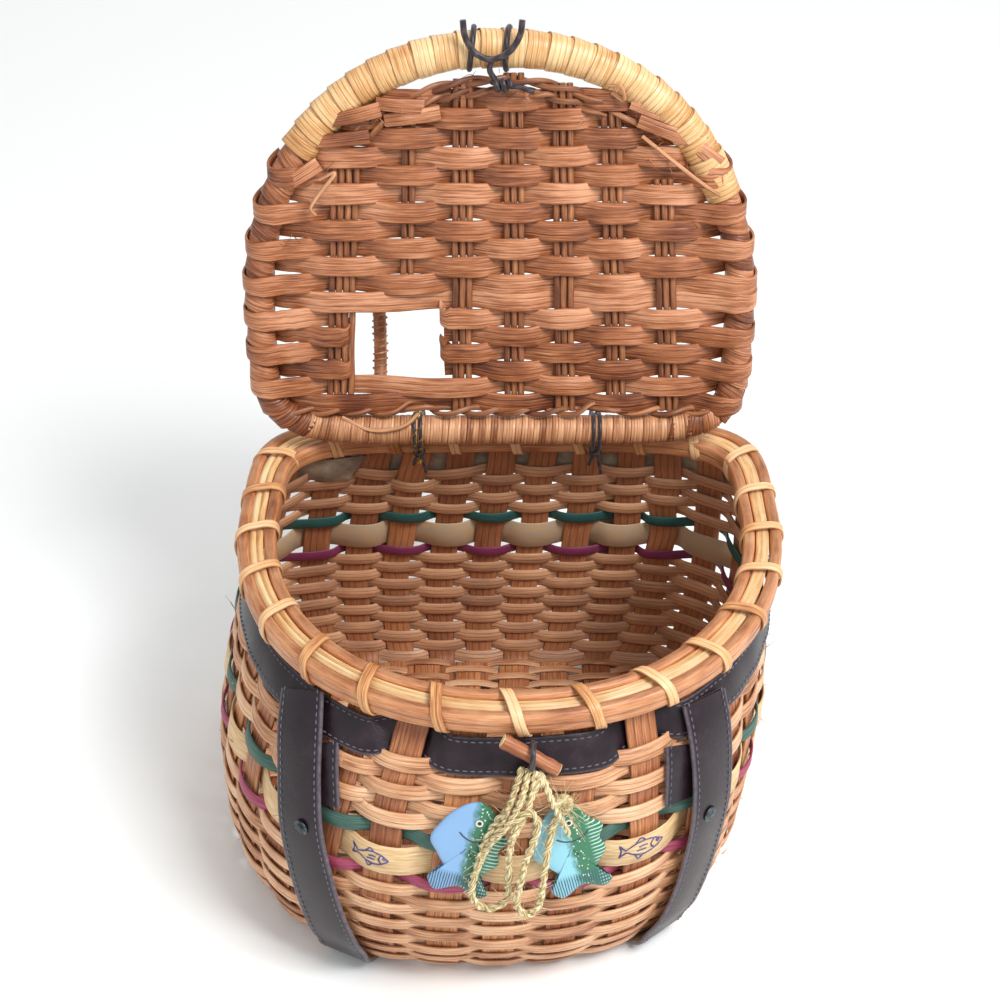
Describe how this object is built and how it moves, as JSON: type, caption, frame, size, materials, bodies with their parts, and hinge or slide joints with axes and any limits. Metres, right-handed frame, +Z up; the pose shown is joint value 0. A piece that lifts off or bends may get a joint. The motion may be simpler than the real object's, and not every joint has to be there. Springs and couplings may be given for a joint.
{
  "type": "fishing creel bag",
  "caption": "D-shaped wicker fishing creel with a hinged woven lid, leather harness straps, coloured strips, a twig toggle and two wooden fish on jute twine.",
  "frame": {"origin": "on the floor under the middle of the object's box, lid open, measured without the twine and its charms", "axes": "+Z up, -Y towards the basket's round front, +X to the right seen from the front"},
  "size_m": [0.3022, 0.3011, 0.409],
  "materials": {
    "weave": "satin",
    "reed": "satin",
    "filler": "satin",
    "cane": "satin",
    "lid_weave": "satin",
    "leather": "satin",
    "strip_green": "satin",
    "strip_tan": "matte",
    "strip_magenta": "satin",
    "twig": "matte",
    "twine": "matte",
    "cord": "satin",
    "rivet": "satin",
    "charm": "satin"
  },
  "bodies": {
    "basket": {"woven_wall": "weave", "rim_reed_outer": "reed", "rim_reed_inner": "reed", "rim_filler": "filler", "leather_band": "leather", "green_strip": "strip_green", "tan_strip": "strip_tan", "magenta_strip": "strip_magenta", "rim_lash_01": "cane", "rim_lash_02": "cane", "rim_lash_03": "cane", "rim_lash_04": "cane", "rim_lash_05": "cane", "rim_lash_06": "cane", "rim_lash_07": "cane", "rim_lash_08": "cane", "rim_lash_09": "cane", "rim_lash_10": "cane", "rim_lash_11": "cane", "rim_lash_12": "cane", "rim_lash_13": "cane", "rim_lash_14": "cane", "rim_lash_15": "cane", "rim_lash_16": "cane", "rim_lash_17": "cane", "rim_lash_18": "cane", "rim_lash_19": "cane", "rim_lash_20": "cane", "rim_lash_21": "cane", "rim_lash_22": "cane", "rim_lash_23": "cane", "rim_lash_24": "cane", "strap_left": "leather", "strap_right": "leather", "strap_tail_left": "leather", "strap_tail_right": "leather", "rivet_left": "rivet", "rivet_right": "rivet", "hinge_tie_1": "cord", "hinge_tie_2": "cord", "toggle_twig": "twig", "toggle_thong": "cord", "jute_twine": "twine", "fish_charm_left": "charm", "fish_charm_right": "charm"},
    "lid": {"lid_frame": "cane", "lid_panel": "lid_weave", "lid_spokes_1": "lid_weave", "lid_spokes_2": "lid_weave", "lid_spokes_3": "lid_weave", "lid_spokes_4": "lid_weave", "lid_spokes_5": "lid_weave", "lid_spokes_6": "lid_weave", "lid_spokes_7": "lid_weave", "lid_loop": "cane", "closure_turn_1": "cord", "closure_turn_2": "cord", "closure_loop": "cord", "closure_knot": "cord"}
  },
  "joints": [
    {"name": "lid_hinge", "type": "hinge", "parent": "basket", "child": "lid", "pos_m": [0.00298, 0.09626, 0.1869], "axis": [1, 0, 0], "range_deg": [0, 98]}
  ]
}
